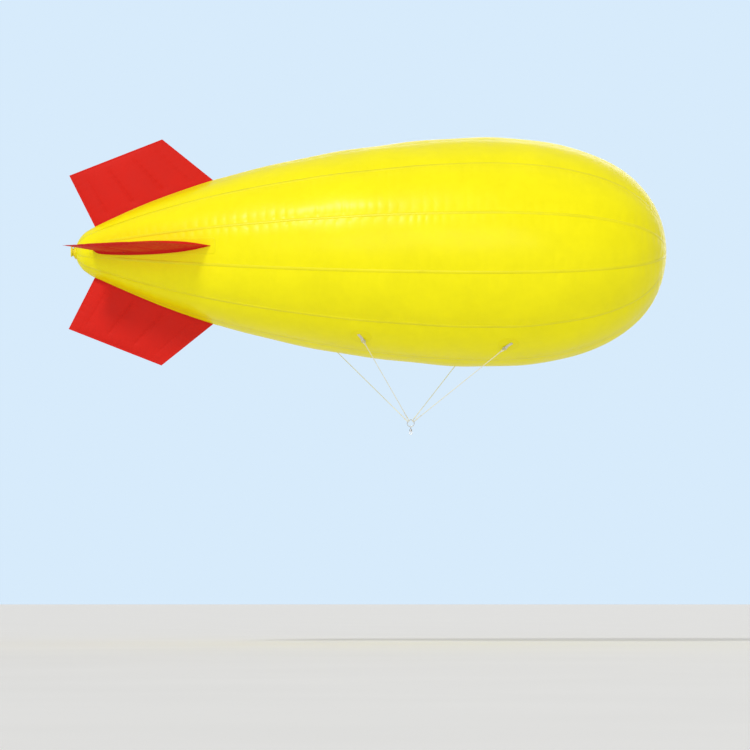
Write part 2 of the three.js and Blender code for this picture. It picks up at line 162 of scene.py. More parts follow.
ATTACHMENTS = [
    # name, station, roll from the lowest line to port, eye's place on the gathering ring
    ("front_left", 4.040, 32, 33),
    ("front_right", 4.450, -32, 60),
    ("rear_left", 2.560, 32, -60),
    ("rear_right", 2.950, -32, -33),
]
FIN_PLACES = [
    # name, turn about the axis from straight up in degrees, side of the valve before that turn
    ("top", 0, 1),
    ("right", 90, -1),
    ("bottom", 180, -1),
    ("left", -90, 1),
]

# Curves

DOME_OUT = np.array([0.45, 0.85])  # rings of a dome, in radii past the tube's end
DOME_SHARE = np.array([0.90, 0.52])  # and their own radii


def length(vectors):
    return np.linalg.norm(vectors, axis=-1)


def unit(vectors):
    return vectors / np.linalg.norm(vectors, axis=-1, keepdims=True)


def around(count):
    """Equal steps round one turn."""
    return np.arange(count) * TURN / count


def smooth_step(value, low, high):
    t = np.clip((value - low) / (high - low), 0, 1)
    return t * t * (3 - 2 * t)


def run_along(path):
    """The distance from a path's start at each of its points."""
    return np.append(0, np.cumsum(length(np.diff(path, axis=0))))


def evenly(path, step):
    """The path again, with points at even distances."""
    path = np.asarray(path, float)
    run = run_along(path)
    even = np.linspace(0, run[-1], max(int(run[-1] / step), 2) + 1)
    return np.stack([np.interp(even, run, column) for column in path.T], axis=1)


def smoothed(points, steps):
    """A Catmull-Rom curve through points."""
    points = np.asarray(points, float)
    padded = np.concatenate([[2 * points[0] - points[1]], points, [2 * points[-1] - points[-2]]])
    t = np.arange(steps)[:, None] / steps
    curve = []
    for a, b, c, d in zip(padded, padded[1:], padded[2:], padded[3:]):
        curve.extend(0.5 * (2 * b + (c - a) * t + (2 * a - 5 * b + 4 * c - d) * t ** 2
                            + (3 * b - a - 3 * c + d) * t ** 3))
    return np.array(curve + [points[-1]])


def bent(start, corner, end, t):
    """A point of the curve that leaves start and meets end in the direction of the corner."""
    return (1 - t) ** 2 * start + 2 * t * (1 - t) * corner + t * t * end


def rounded(corners, steps=4, scale=MM):
    """A line through corners (x, y, rounding), sharp where no rounding is given. Corners are in
    millimetres, and the line is in metres."""
    places = [np.array(corner[:2]) * scale for corner in corners]
    line = [places[0]]
    for before, place, after, corner in zip(places, places[1:], places[2:], corners[1:]):
        if len(corner) == 2:
            line.append(place)
            continue
        back, ahead = unit(before - place), unit(after - place)
        half = acos(np.clip(np.dot(back, ahead), -1, 1)) / 2
        most = 0.49 * min(length(before - place), length(after - place))
        reach = min(corner[2] * scale / tan(half), most)
        t = np.linspace(0, 1, steps + 1)[:, None]
        line.extend(bent(place + back * reach, place, place + ahead * reach, t))
    return np.array(line + [places[-1]])


def circle(centre, radius, first, second, count):
    """A closed path that starts at first and turns towards second."""
    angles = around(count)[:, None]
    return centre + radius * (np.cos(angles) * first + np.sin(angles) * second)


def along_path(path, closed=False):
    """Tangents and two side directions that don't twist, at each point of a path."""
    ahead, behind = np.roll(path, -1, axis=0), np.roll(path, 1, axis=0)
    if not closed:
        ahead[-1], behind[0] = path[-1], path[0]
    tangents = unit(ahead - behind)
    start = np.cross(tangents[0], UP)
    if length(start) < 0.1:
        start = np.cross(tangents[0], PORT)
    normals = [unit(start)]
    for tangent in tangents[1:]:
        normals.append(unit(normals[-1] - tangent * np.dot(normals[-1], tangent)))
    normals = np.array(normals)
    if closed:
        end = normals[-1] - tangents[0] * np.dot(normals[-1], tangents[0])
        twist = np.arctan2(np.dot(np.cross(end, normals[0]), tangents[0]), np.dot(end, normals[0]))
        turn = np.linspace(0, twist, len(path), endpoint=False)[:, None]
        normals = normals * np.cos(turn) + np.cross(tangents, normals) * np.sin(turn)
    return tangents, normals, np.cross(tangents, normals)


# Meshes: a part is an array of points and a list of faces

COINCIDENT = 0.002 * MM


def quads(index):
    """Faces over a grid of point numbers."""
    corners = [index[:-1, :-1], index[:-1, 1:], index[1:, 1:], index[1:, :-1]]
    return np.stack(corners, axis=-1).reshape(-1, 4).tolist()


def loft(rings, closed=False):
    """A shell over rings of points. Its ends have caps, or where it is closed the last ring meets
    the first. Rings may shrink to a point."""
    rings = np.asarray(rings, float)
    index = np.arange(rings.shape[0] * rings.shape[1]).reshape(rings.shape[:2])
    caps = [] if closed else [index[0].tolist(), index[-1].tolist()]
    if closed:
        index = np.concatenate([index, index[:1]])
    return rings.reshape(-1, 3), quads(np.concatenate([index, index[:, :1]], axis=1)) + caps


def lined(outside, inside):
    """A shell of two sets of rings that start and end together, one set inside the other."""
    return loft(np.concatenate([outside, inside[::-1]]), closed=True)


def two_sided(top, under):
    """A shell of two grids of points that face each other, joined all round."""
    index = np.arange(2 * top[..., 0].size).reshape(2, *top.shape[:2])
    faces = quads(index[0]) + quads(index[1])
    for edge in (index[:, 0], index[:, -1], index[:, :, 0], index[:, :, -1]):
        faces += quads(edge)
    return np.concatenate([top.reshape(-1, 3), under.reshape(-1, 3)]), faces


def sweep(path, radius, sides=8, closed=False):
    """A round tube along a path; radius is one number or one for each point. Open ends get domes."""
    path = np.asarray(path, float)
    radii = np.broadcast_to(radius, len(path))
    tangents, normals, binormals = along_path(path, closed)
    if not closed:
        rows = np.pad(np.arange(len(path)), len(DOME_OUT), mode="edge")
        flat = np.zeros(len(path))
        out = np.concatenate([-DOME_OUT[::-1], flat, DOME_OUT]) * radii[rows]
        path = path[rows] + tangents[rows] * out[:, None]
        radii = radii[rows] * np.concatenate([DOME_SHARE[::-1], flat + 1, DOME_SHARE])
        normals, binormals = normals[rows], binormals[rows]
    angles = around(sides)[:, None]
    ring = normals[:, None] * np.cos(angles) + binormals[:, None] * np.sin(angles)
    return loft(path[:, None] + ring * radii[:, None, None], closed)


def lathe(profile, centre, axis, segments, flute=None):
    """A body turned about an axis; the profile is (radius, height), with the height along the axis.
    flute(angles, radius, height) may change the radius round the turn."""
    side = unit(np.cross(axis, PORT if abs(axis[1]) < 0.9 else UP))
    angles = around(segments)
    out = np.cos(angles)[:, None] * side + np.sin(angles)[:, None] * np.cross(axis, side)
    rings = []
    for radius, height in profile:
        radii = flute(angles, radius, height) if flute else np.full(segments, radius)
        rings.append(centre + axis * height + out * radii[:, None])
    return loft(rings, closed=True)


def joined(parts):
    """One part of several."""
    points, faces, start = [], [], 0
    for part_points, part_faces in parts:
        points.append(part_points)
        faces.extend([start + i for i in face] for face in part_faces)
        start += len(part_points)
    return np.concatenate(points), faces


def weld(mesh):
    """Joins the points that coincide, drops the edges left bare and turns every shell outwards."""
    shell = bmesh.new()
    shell.from_mesh(mesh)
    bmesh.ops.remove_doubles(shell, verts=shell.verts, dist=COINCIDENT)
    bare = [edge for edge in shell.edges if edge.is_wire]
    bmesh.ops.delete(shell, geom=bare, context="EDGES")
    bmesh.ops.recalc_face_normals(shell, faces=shell.faces)
    shell.to_mesh(mesh)
    shell.free()


def link(name, data):
    made = bpy.data.objects.new(name, data)
    bpy.context.scene.collection.objects.link(made)
    return made


def make(name, parts, material, node=None, body="root", strap=None):
    """A smooth mesh object of several parts, which rides on its body and stands for its node.
    strap holds each point's place on a tape or strap, as (along, across, 0)."""
    points, faces = joined(parts)
    mesh = bpy.data.meshes.new(name)
    mesh.from_pydata(points.tolist(), [], faces)
    if strap is not None:
        places = mesh.attributes.new("strap", "FLOAT_VECTOR", "POINT")
        places.data.foreach_set("vector", np.asarray(strap, np.float32).ravel())
    mesh.materials.append(material)
    weld(mesh)
    mesh.shade_smooth()
    piece = link(name, mesh)
    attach(piece, body)
    if node:
        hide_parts(node)
    return piece


# Envelope outline: station, radius and the outward normal's two shares against the arc


def cubic(p0, p1, p2, p3, t):
    t = t[:, None]
    return (1 - t) ** 3 * p0 + 3 * t * (1 - t) ** 2 * p1 + 3 * t * t * (1 - t) * p2 + t ** 3 * p3


def outline_table(samples=3000):
    turn = np.linspace(-pi / 2, -TAIL_ANGLE, samples // 6)
    tail = TAIL_RADIUS * np.stack([1 + np.sin(turn), np.cos(turn)], axis=1)
    handle = FLANK_TAIL_HANDLE * np.array([cos(TAIL_ANGLE), sin(TAIL_ANGLE)])
    widest = np.array([MAX_STATION, MAX_RADIUS])
    tip = np.array([HULL_LENGTH, 0])
    t = np.linspace(0, 1, samples)[1:]
    flank = cubic(tail[-1], tail[-1] + handle, widest - [FLANK_BELLY_HANDLE, 0], widest, t)
    nose = cubic(widest, widest + [NOSE_AXIAL_HANDLE, 0], tip + [0, NOSE_RADIAL_HANDLE], tip, t)
    line = np.concatenate([tail, flank, nose])
    arc = run_along(line)
    slope = unit(np.gradient(line, arc, axis=0))
    slope[-1] = (0, -1)
    return arc, line[:, 0], np.maximum(line[:, 1], 0), -slope[:, 1], slope[:, 0]


ARC, STATION, RADIUS, NORMAL_X, NORMAL_R = outline_table()
ARC_END = ARC[-1]


def outline_at(arc):
    """Station, radius and the outward normal's axial and radial shares."""
    return tuple(np.interp(arc, ARC, column) for column in (STATION, RADIUS, NORMAL_X, NORMAL_R))


def arc_of_station(station):
    return np.interp(station, STATION, ARC)


def arc_of_radius(radius, nose=False):
    """The arc at which the outline has a radius, on its tail side or on its nose side."""
    peak = int(np.argmax(RADIUS))
    if nose:
        return float(np.interp(radius, RADIUS[peak:][::-1], ARC[peak:][::-1]))
    return float(np.interp(radius, RADIUS[:peak], ARC[:peak]))


class Attachment:
    """Where a bridle line pulls: out from the film, along the pull on the film, and across it."""

    def __init__(self, name, station, roll, ring_angle):
        self.name = name
        self.angle = pi - radians(roll)
        self.arc = float(arc_of_station(station))
        _, self.radius, normal_x, normal_r = outline_at(self.arc)
        outward = PORT * sin(self.angle) + UP * cos(self.angle)
        self.centre = TAIL + AHEAD * station + outward * self.radius
        self.up = unit(outward * normal_r + AHEAD * normal_x)
        a = radians(ring_angle)
        self.ring_point = GATHER + RING_RADIUS * (AHEAD * sin(a) + UP * cos(a))
        self.ring_tangent = AHEAD * cos(a) - UP * sin(a)
        pull = self.ring_point - self.centre
        self.along = unit(pull - self.up * np.dot(pull, self.up))
        self.across = np.cross(self.up, self.along)
        self.bar = self.centre + WEBBING_FRONT * self.along + LOOP_HEIGHT * self.up
        self.line_way = unit(self.ring_point - self.bar)
        self.apex = self.bar + self.line_way * (D_SHOULDER + D_HALF)

    def at(self, along, across, above):
        """Points along the pull, across it and above the film, which falls away to both sides."""
        drop = self.radius - np.sqrt(self.radius ** 2 - np.square(across))
        shares = np.stack(np.broadcast_arrays(along, across, above - drop), axis=-1)
        return self.centre + shares @ np.stack([self.along, self.across, self.up])


attachments = [Attachment(*row) for row in ATTACHMENTS]

# Relief of the film


def crease_tables(count, reach, wavelength, seed):
    """For each edge, how far it is creased in, 0 to 1, at every millimetre along it."""
    random = np.random.default_rng(seed)
    samples = int(reach / MM) + 2
    knots = int(reach / KNOT_SPACING) + 3
    at, places = np.arange(samples), np.linspace(0, samples, knots)
    tables = np.empty((count, samples))
    for row in range(count):
        spacing = np.interp(at, places, random.uniform(*CREASE_SPACINGS, knots))
        height = np.interp(at, places, random.uniform(*CREASE_HEIGHTS, knots))
        phase = random.uniform(0, pi) + np.cumsum(pi * MM / (wavelength * spacing))
        tables[row] = height * (1 - np.abs(np.sin(phase)) ** 0.8)
    return tables


def crease_at(tables, along, row=...):
    return tables[row, np.clip((along / MM).astype(int), 0, tables.shape[-1] - 1)]


def soft_waves(seed, count=14):
    """Folds round the axis, phase for each metre along it, and phase of each wave."""
    random = np.random.default_rng(seed)
    return [(int(random.integers(2, 11)), random.uniform(-9, 9), random.uniform(0, TURN))
            for _ in range(count)]


SEAM_CREASES = crease_tables(2 * GORES, ARC_END, SEAM_CREASE, SEAM_SEED)
WAVES = soft_waves(WAVE_SEED)


def nearer_patch(station):
    """The radius of the patch at the nearer end."""
    return np.where(station < MAX_STATION, TAIL_PATCH[0], NOSE_PATCH[0])


def stiffened(station, radius, angle):
    """1 where a doubler holds the film flat, 0 on the free film."""
    y, z = radius * np.sin(angle), radius * np.cos(angle)
    place = np.stack([station - BUOYANCY_STATION, y, z], axis=-1)
    patch = nearer_patch(station)
    flat = 1 - smooth_step(radius, patch, patch + END_HOLD_FADE)
    for _, turn, _ in FIN_PLACES:
        a = radians(turn)
        across = np.abs(y * cos(a) + z * sin(a))
        past = np.maximum(ROOT_BACK[0] - station, station - ROOT_FRONT[0]) - STRIP_OVERRUN
        held = 1 - smooth_step(np.maximum(across - STRIP_HALF, past), 0, HOLD_FADE)
        flat = np.maximum(flat, np.where(z * cos(a) > y * sin(a), held, 0))
    for spot in attachments:
        away = length(place - spot.centre)
        flat = np.maximum(flat, 1 - smooth_step(away, LOAD_PATCH[0], LOAD_PATCH[0] + HOLD_FADE))
    return flat


def relief(arc, angle):
    """How far the film stands out from the smooth envelope; it mostly lies inside it."""
    station, radius, _, _ = outline_at(arc)
    share = radius / MAX_RADIUS
    gore = (angle % TURN) / GORE_ANGLE
    seam = np.floor(gore).astype(int) % GORES
    offset = gore - np.floor(gore) - 0.5
    away = np.abs(offset) * GORE_ANGLE * radius
    lobe = -LOBE_DEPTH * share ** LOBE_TAPER * (1 - 2 * np.abs(offset)) ** 2
    crease = crease_at(SEAM_CREASES, arc, 2 * seam + (offset > 0))
    height = PUCKER_BODY + (PUCKER_ENDS - PUCKER_BODY) * np.clip(1.4 - 1.4 * share, 0, 1)
    fade = np.exp(-np.maximum(away - PUCKER_PEAK, 0) / PUCKER_REACH)
    near_end = np.clip(radius / PUCKER_LEAST_RADIUS, 0, 1)
    pucker = -height * crease * fade * smooth_step(away, *PUCKER_RISE) * near_end
    past = np.maximum(radius - nearer_patch(station), 0)
    folds = 1 - np.abs(np.sin(GATHER_FOLDS / 2 * angle + GATHER_SWAY * np.sin(5 * angle)))
    gather = -GATHER_DEPTH * folds * np.exp(-past / GATHER_REACH)
    wave = sum(np.cos(count * angle + rate * arc + phase) for count, rate, phase in WAVES)
    wave = wave * WAVE_HEIGHT * share / sqrt(len(WAVES) / 2)
    return lobe + wave + (1 - stiffened(station, radius, angle)) * (pucker + gather)


def on_hull(arc, angle, lift=0.0):
    """Points on the film, or lifted off it along the envelope's normal."""
    arc, angle = np.broadcast_arrays(np.asarray(arc, float), np.asarray(angle, float))
    station, radius, normal_x, normal_r = outline_at(arc)
    height = relief(arc, angle) + lift
    out = radius + normal_r * height
    ahead = station + normal_x * height - BUOYANCY_STATION
    return np.stack([ahead, out * np.sin(angle), out * np.cos(angle)], axis=-1)


# Materials


class Nodes:
    """A node tree under construction."""

    def __init__(self, tree):
        self.tree = tree

    def feed(self, node, inputs):
        """Sets the inputs of a node, or links them to the outputs of others."""
        for key, value in inputs.items():
            if isinstance(value, bpy.types.NodeSocket):
                self.tree.links.new(value, node.inputs[key])
            else:
                node.inputs[key].default_value = value

    def add(self, kind, inputs, output=0, **settings):
        """An output of a new node."""
        node = self.tree.nodes.new("ShaderNode" + kind)
        for key, value in settings.items():
            setattr(node, key, value)
        self.feed(node, inputs)
        return node.outputs[output]


class Finish(Nodes):
    """A material under construction, with one Principled shader."""

    def __init__(self, name, color, roughness, sockets):
        self.material = bpy.data.materials.new(name)
        self.material.use_nodes = True
        self.material.diffuse_color = (*color, 1)
        super().__init__(self.material.node_tree)
        self.shader = self.tree.nodes["Principled BSDF"]
        self.color = color
        self.bump = None
        self.feed(self.shader, {"Base Color": (*color, 1), "Roughness": roughness, **sockets})

    def place(self, scale=(1, 1, 1)):
        """The object's own coordinates, in metres."""
        return self.add("Mapping", {"Vector": self.add("TexCoord", {}, "Object"), "Scale": scale})

    def strap(self):
        """The place along and across a strap or tape, in metres."""
        return self.add("Attribute", {}, "Vector", attribute_name="strap")

    def noise(self, vector, scale, detail=3.0, rough=0.5, distortion=0.0):
        return self.add("TexNoise", {"Vector": vector, "Scale": scale, "Detail": detail,
                                     "Roughness": rough, "Distortion": distortion})

    def bands(self, vector, scale, direction, distortion=0.0, detail=2.0):
        return self.add("TexWave", {"Vector": vector, "Scale": scale, "Distortion": distortion,
                                    "Detail": detail}, "Fac", bands_direction=direction)

    def span(self, value, low, high, new_low=0.0, new_high=1.0):
        return self.add("MapRange", {"Value": value, "From Min": low, "From Max": high,
                                     "To Min": new_low, "To Max": new_high})

    def math(self, operation, a, b):
        return self.add("Math", {0: a, 1: b}, operation=operation)

    def tone(self, value, low, high, dark, light):
        """The base colour goes from a dark to a light share of it as value goes from low to high."""
        ends = [[min(channel * share, 1.0) for channel in self.color] + [1] for share in (dark, light)]
        factor = self.span(value, low, high)
        mix = self.add("Mix", {0: factor, 6: ends[0], 7: ends[1]}, 2, data_type="RGBA")
        self.feed(self.shader, {"Base Color": mix})

    def wear(self, value, low, high, smooth, rough):
        """The roughness goes from smooth to rough as value goes from low to high."""
        self.feed(self.shader, {"Roughness": self.span(value, low, high, smooth, rough)})

    def emboss(self, height, distance, strength):
        """Adds a bump of a height in 0 to 1 over distance metres."""
        inputs = {"Height": height, "Distance": distance, "Strength": strength}
        if self.bump is not None:
            inputs["Normal"] = self.bump
        self.bump = self.add("Bump", inputs)
        self.feed(self.shader, {"Normal": self.bump})


def film(name, color, roughness, specular, coat):
    """Welded balloon film: a soft sheen, faint fold lines, fine crinkle and slight mottling."""
    finish = Finish(name, color, roughness, {
        "Specular IOR Level": specular, "Coat Weight": coat, "Coat Roughness": 0.18})
    place = finish.place()
    mottle = finish.noise(place, 1.7, 4.0, 0.55)
    cloudy = finish.noise(place, 9.0, 3.0, 0.6)
    blend = finish.math("ADD", finish.math("MULTIPLY", mottle, 0.65), finish.math("MULTIPLY", cloudy, 0.35))
    finish.tone(blend, 0.35, 0.65, 0.93, 1.0)
    finish.wear(cloudy, 0.3, 0.7, roughness - 0.05, roughness + 0.07)
    folds = finish.add("TexVoronoi", {"Vector": place, "Scale": 2.6, "Randomness": 0.9},
                       feature="DISTANCE_TO_EDGE")
    finish.emboss(finish.span(folds, 0.0, 0.035), 0.5 * MM, 0.5)
    finish.emboss(finish.noise(place, 2.2, 2.0, 0.5, 0.6), 9 * MM, 0.35)
    finish.emboss(finish.noise(place, 26.0, 4.0, 0.62), 0.9 * MM, 0.5)
    finish.emboss(finish.noise(place, 420.0, 2.0, 0.5), 0.05 * MM, 0.6)
    return finish.material


def weld_tape(name, color, roughness):
    """Tape over a weld, pressed with fine cross ribs."""
    finish = Finish(name, color, roughness, {"Specular IOR Level": 0.35})
    place = finish.place()
    finish.tone(finish.noise(place, 3.0, 3.0, 0.6), 0.35, 0.65, 0.88, 0.95)
    finish.emboss(finish.bands(finish.strap(), 55.0, "X", 0.4, 1.0), 0.25 * MM, 0.5)
    finish.emboss(finish.noise(place, 60.0, 3.0, 0.6), 0.4 * MM, 0.5)
    return finish.material


def woven(name, color):
    """Polyester strap: a twill of ribs along and across, with painted shade in the grooves between the
    ribs.
    """
    finish = Finish(name, color, 0.82, {"Specular IOR Level": 0.25, "Sheen Weight": 0.25})
    strap = finish.strap()
    ribs, twill = finish.bands(strap, 190.0, "Y"), finish.bands(strap, 95.0, "DIAGONAL", 0.2)
    weave = finish.math("MULTIPLY", ribs, twill)
    # Painted shade: the base colour darkens where the weave sinks, in step with its bump.
    finish.tone(weave, 0.0, 0.6, 0.72, 1.0)
    finish.emboss(weave, 0.5 * MM, 0.8)
    finish.emboss(finish.noise(strap, 900.0, 2.0, 0.6), 0.1 * MM, 0.5)
    return finish.material


def fibre(name, color):
    """Laid or sewn yarn; fine fibres along the strand, with painted shade in the hollows between them."""
    finish = Finish(name, color, 0.78, {"Specular IOR Level": 0.25, "Sheen Weight": 0.3})
    streaks = finish.noise(finish.place(), 700.0, 3.0, 0.6, 1.5)
    # Painted shade: the base colour darkens where the streaks sink, in step with their bump.
    finish.tone(streaks, 0.3, 0.7, 0.84, 1.04)
    finish.emboss(streaks, 0.25 * MM, 0.7)
    return finish.material


def polished_steel(name, color):
    finish = Finish(name, color, 0.26, {"Metallic": 1.0})
    scuffs = finish.noise(finish.place((1, 1, 6)), 240.0, 3.0, 0.65, 0.8)
    finish.tone(finish.noise(finish.place(), 60.0, 3.0, 0.6), 0.35, 0.7, 0.84, 1.04)
    finish.wear(scuffs, 0.3, 0.75, 0.18, 0.42)
    finish.emboss(scuffs, 0.06 * MM, 0.6)
    return finish.material


def moulded(name, color, roughness):
    finish = Finish(name, color, roughness, {"Specular IOR Level": 0.45})
    place = finish.place()
    tone = finish.noise(place, 25.0)
    finish.tone(tone, 0.35, 0.65, 0.9, 1.02)
    finish.wear(tone, 0.3, 0.7, roughness - 0.05, roughness + 0.08)
    finish.emboss(finish.noise(place, 1300.0, 2.0, 0.6), 0.06 * MM, 0.5)
    return finish.material


YELLOW = (1.0, 0.913, 0.0)
envelope_film = film("envelope film", YELLOW, 0.36, 0.17, 0.06)
fin_film = film("fin film", (0.701, 0.019, 0.012), 0.50, 0.08, 0.0)
seam_tape = weld_tape("seam tape", YELLOW, 0.33)
doubler_film = film("doubler film", (0.97, 0.875, 0.0), 0.33, 0.17, 0.06)
strap_weave = woven("strap weave", (0.86, 0.82, 0.66))
rope_fibre = fibre("rope fibre", (0.90, 0.87, 0.72))
thread_fibre = fibre("thread fibre", (0.80, 0.77, 0.66))
steel = polished_steel("stainless steel", (0.62, 0.63, 0.65))
valve_plastic = moulded("valve plastic", (0.90, 0.75, 0.002), 0.42)
fin_plastic = moulded("fin valve plastic", (0.62, 0.02, 0.014), 0.4)

# Camera, floor and light: a long lens near the floor, looking up at the balloon's side

CAMERA_AT = (-0.461, -40.0, -3.585)
CAMERA_PITCH = radians(3.31)
CAMERA_LENS = 186.3
CAMERA_CLIP = 900.0
FLOOR_LEVEL = -4.04
FLOOR_RADIUS = 320.0


def add_camera():
    camera = link("camera", bpy.data.cameras.new("camera"))
    camera.data.lens = CAMERA_LENS
    camera.data.clip_end = CAMERA_CLIP
    camera.location = CAMERA_AT
    camera.rotation_euler = (pi / 2 + CAMERA_PITCH, 0, 0)
    bpy.context.scene.camera = camera


def add_floor():
    """A pale disc, clear from below."""
    finish = Finish("floor", (0.85, 0.865, 0.875), 0.9, {"Specular IOR Level": 0.1})
    finish.tone(finish.noise(finish.place(), 0.6), 0.3, 0.7, 0.98, 1.0)
    below = finish.add("NewGeometry", {}, "Backfacing")
    clear = finish.add("BsdfTransparent", {})
    mix = finish.add("MixShader", {0: below, 1: finish.shader.outputs[0], 2: clear})
    finish.feed(finish.tree.nodes["Material Output"], {"Surface": mix})
    rim = circle(UP * FLOOR_LEVEL, FLOOR_RADIUS, AHEAD, PORT, 96)
    mesh = bpy.data.meshes.new("floor")
    mesh.from_pydata(rim.tolist(), [], [list(range(len(rim)))])
    mesh.materials.append(finish.material)
    link("floor", mesh)


def add_sun(name, strength, angle, elevation, azimuth, color=(1, 1, 1)):
    """A soft sun; the azimuth is where it stands, 0 at the camera's side and 90 at the nose."""
    light = link(name, bpy.data.lights.new(name, "SUN"))
    light.data.energy = strength
    light.data.angle = radians(angle)
    light.data.color = color
    light.rotation_euler = (radians(90 - elevation), 0, radians(azimuth))


def add_world():
    """Neutral light from all round, in front of a pale blue backdrop."""
    world = bpy.data.worlds.new("pale sky")
    world.use_nodes = True
    sky = Nodes(world.node_tree)
    light = sky.tree.nodes["Background"]
    sky.feed(light, {"Color": (1.0, 0.98, 0.95, 1), "Strength": 0.58})
    backdrop = sky.add("Background", {"Color": (0.68, 0.83, 0.97, 1), "Strength": 1.0})
    seen = sky.add("LightPath", {}, "Is Camera Ray")
    mix = sky.add("MixShader", {0: seen, 1: light.outputs[0], 2: backdrop})
    sky.feed(sky.tree.nodes["World Output"], {"Surface": mix})
    bpy.context.scene.world = world


add_camera()
add_floor()
add_world()
add_sun("key light", 1.05, 9, 40, -26, (1, 0.985, 0.96))
add_sun("fill light", 0.80, 40, 2, -4)
add_sun("back light", 0.55, 40, 14, 165)
bpy.context.scene.view_settings.view_transform = "Standard"

# Envelope skin: a closed shell, fine outside and plain inside

SKIN_RINGS = 495
INNER_RINGS = 12
INNER_LIFT = -14 * MM
INNER_TIP_LIFT = -20 * MM
INNER_END = 0.05
VALVE_HOLE = 0.0343
HALF_GORE_SHARES = np.array([0.0, 0.03, 0.075, 0.135, 0.215, 0.32, 0.46, 0.66])


def skin_angles():
    """Column angles, close beside the seams and wide in the middle of each gore."""
    seam_to_seam = np.concatenate([HALF_GORE_SHARES, [1], 2 - HALF_GORE_SHARES[:0:-1]])
    seams = (np.arange(GORES) + 0.5) * GORE_ANGLE
    return (seams[:, None] + GORE_ANGLE / 2 * seam_to_seam).ravel()


def skin_arcs():
    """From the valve's hole to just short of the nose tip."""
    return np.linspace(arc_of_radius(VALVE_HOLE), ARC_END - 2 * MM, SKIN_RINGS)


def envelope_skin():
    arcs = np.append(skin_arcs(), ARC_END)
    inner_arcs = np.append(np.linspace(arcs[0], ARC_END - INNER_END, INNER_RINGS), ARC_END)
    outside = on_hull(arcs[:, None], skin_angles())
    lift = np.append(np.full(INNER_RINGS, INNER_LIFT), INNER_TIP_LIFT)
    inside = on_hull(inner_arcs[:, None], skin_angles(), lift[:, None])
    make("envelope_skin", [lined(outside, inside)], envelope_film, "envelope")


def seam_tapes():
    """A tape over each seam, from the tail patch to the nose patch."""
    across = np.array([-1.0, -0.93, 0.0, 0.93, 1.0, 0.0]) * TAPE_HALF
    lift = np.array([SUNK, TAPE_THICKNESS, TAPE_THICKNESS + 0.2 * MM, TAPE_THICKNESS, SUNK, SUNK])
    arcs = skin_arcs()
    arcs = arcs[(arcs > arc_of_radius(TAIL_PATCH[0] - TAPE_TUCK))
                & (arcs < arc_of_radius(NOSE_PATCH[0] - TAPE_TUCK, nose=True))]
    station, radius, _, _ = outline_at(arcs)
    patch = nearer_patch(station)
    thin = TAPE_THIN + (1 - TAPE_THIN) * smooth_step(radius, patch - 8 * MM, patch)
    place = np.stack(np.broadcast_arrays(arcs[:, None], across, 0), axis=-1).reshape(-1, 3)
    parts = []
    for gore in range(GORES):
        angles = (gore + 0.5) * GORE_ANGLE + across / radius[:, None]
        parts.append(loft(on_hull(arcs[:, None], angles, lift * thin[:, None])))
    make("seam_tapes", parts, seam_tape, strap=np.tile(place, (GORES, 1)))


# Welded doublers: sheets that lie on the film with a bevelled edge

LOAD_RINGS, LOAD_COLUMNS = (22, 16), (72, 64)  # of both layers
NOSE_RINGS, TAIL_RINGS, END_COLUMNS = (26, 18), (22, 16), 96
STRIP_ROWS = (150, 0.0005)  # steps, and the share of the bevelled one
STRIP_COLUMNS = (20, 0.004)


def edge_steps(count, edge):
    """0 to 1 in steps, with one narrow step at each end for a bevelled edge."""
    return np.concatenate([[0.0], np.linspace(edge, 1 - edge, count - 2), [1.0]])


def doubler(arcs, angles, layer, rise):
    """A layer of a patch over rings of places; rise is 0 at its bevelled edges and 1 inside."""
    low, high = layer
    top = on_hull(arcs, angles, low + (high - low) * rise[:, None])
    return lined(top, on_hull(arcs, angles, low - UNDERCUT))


def load_doubler(spot, layer, radius, rings, columns):
    """A round sheet with a bevelled edge."""
    turn = around(columns)
    reach = radius * np.append(0, edge_steps(2 * rings, BEVEL / radius)[rings:])[:, None]
    angles = spot.angle + reach * np.sin(turn) / spot.radius
    return doubler(spot.arc + reach * np.cos(turn), angles, layer, np.append(np.ones(rings), 0))


def load_patches():
    for spot in attachments:
        rows = zip(LAYERS, LOAD_PATCH, LOAD_RINGS, LOAD_COLUMNS)
        parts = [load_doubler(spot, *row) for row in rows]
        make(f"load_doublers_{spot.name}", parts, doubler_film, f"load_patch_{spot.name}")


def end_doubler(layer, radius, rings, hole, nose):
    """A ring about the axis, or a cap where its hole is 0."""
    outer, inner = arc_of_radius(radius, nose), arc_of_radius(hole, nose)
    arcs = outer + (inner - outer) * edge_steps(rings, BEVEL / radius)
    rise = np.ones(rings)
    rise[0] = 0
    rise[-1] = hole == 0
    return doubler(arcs[:, None], around(END_COLUMNS), layer, rise)


def end_patches():
    for end, radii, rings, hole in (("nose", NOSE_PATCH, NOSE_RINGS, 0),
                                    ("tail", TAIL_PATCH, TAIL_RINGS, TAIL_PATCH_HOLE)):
        parts = [end_doubler(*row, hole, end == "nose") for row in zip(LAYERS, radii, rings)]
        make(f"{end}_doublers", parts, doubler_film, f"{end}_patch")


